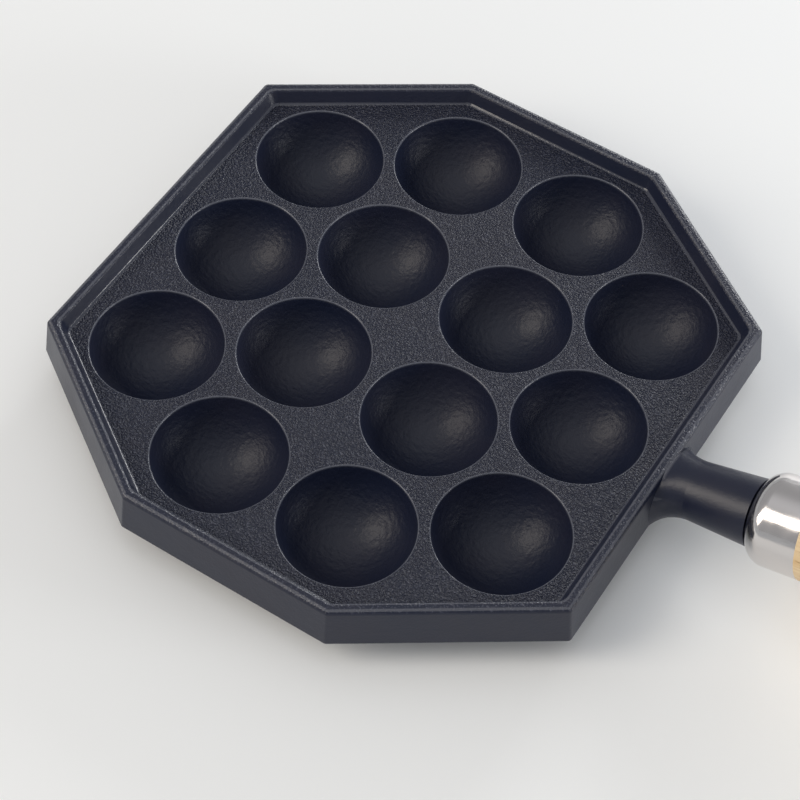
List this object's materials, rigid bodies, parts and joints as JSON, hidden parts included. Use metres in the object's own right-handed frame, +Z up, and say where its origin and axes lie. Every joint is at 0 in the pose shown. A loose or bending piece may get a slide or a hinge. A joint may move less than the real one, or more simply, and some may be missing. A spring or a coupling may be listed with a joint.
{
  "type": "takoyaki pan",
  "caption": "Cast-iron stovetop pan with ball-shaped cups in an eight-sided plate and a turned wooden grip.",
  "frame": {"origin": "middle of the footprint box, on the surface that the cup feet stand on", "axes": "+X along the handle, away from the pan; +Z up; +Y to the left of the handle"},
  "size_m": [0.361, 0.1918, 0.067],
  "materials": {
    "cast_iron": "seasoned, fine grain",
    "polished_steel": "polished",
    "plain_steel": "satin",
    "grip_wood": "sanded, oiled"
  },
  "bodies": {
    "pan": {"pan_casting": "cast_iron", "ferrule": "polished_steel", "wooden_grip": "grip_wood", "tie_rod": "plain_steel", "flat_washer": "plain_steel", "spring_washer": "plain_steel", "eye_nut": "plain_steel"},
    "hanging_ring": {"hanging_ring": "plain_steel"}
  },
  "joints": [
    {"name": "ring_swing", "type": "hinge", "parent": "pan", "child": "hanging_ring", "pos_m": [0.17552, 0, 0.05898], "axis": [0, 1, 0], "range_deg": [-249, 41]}
  ]
}
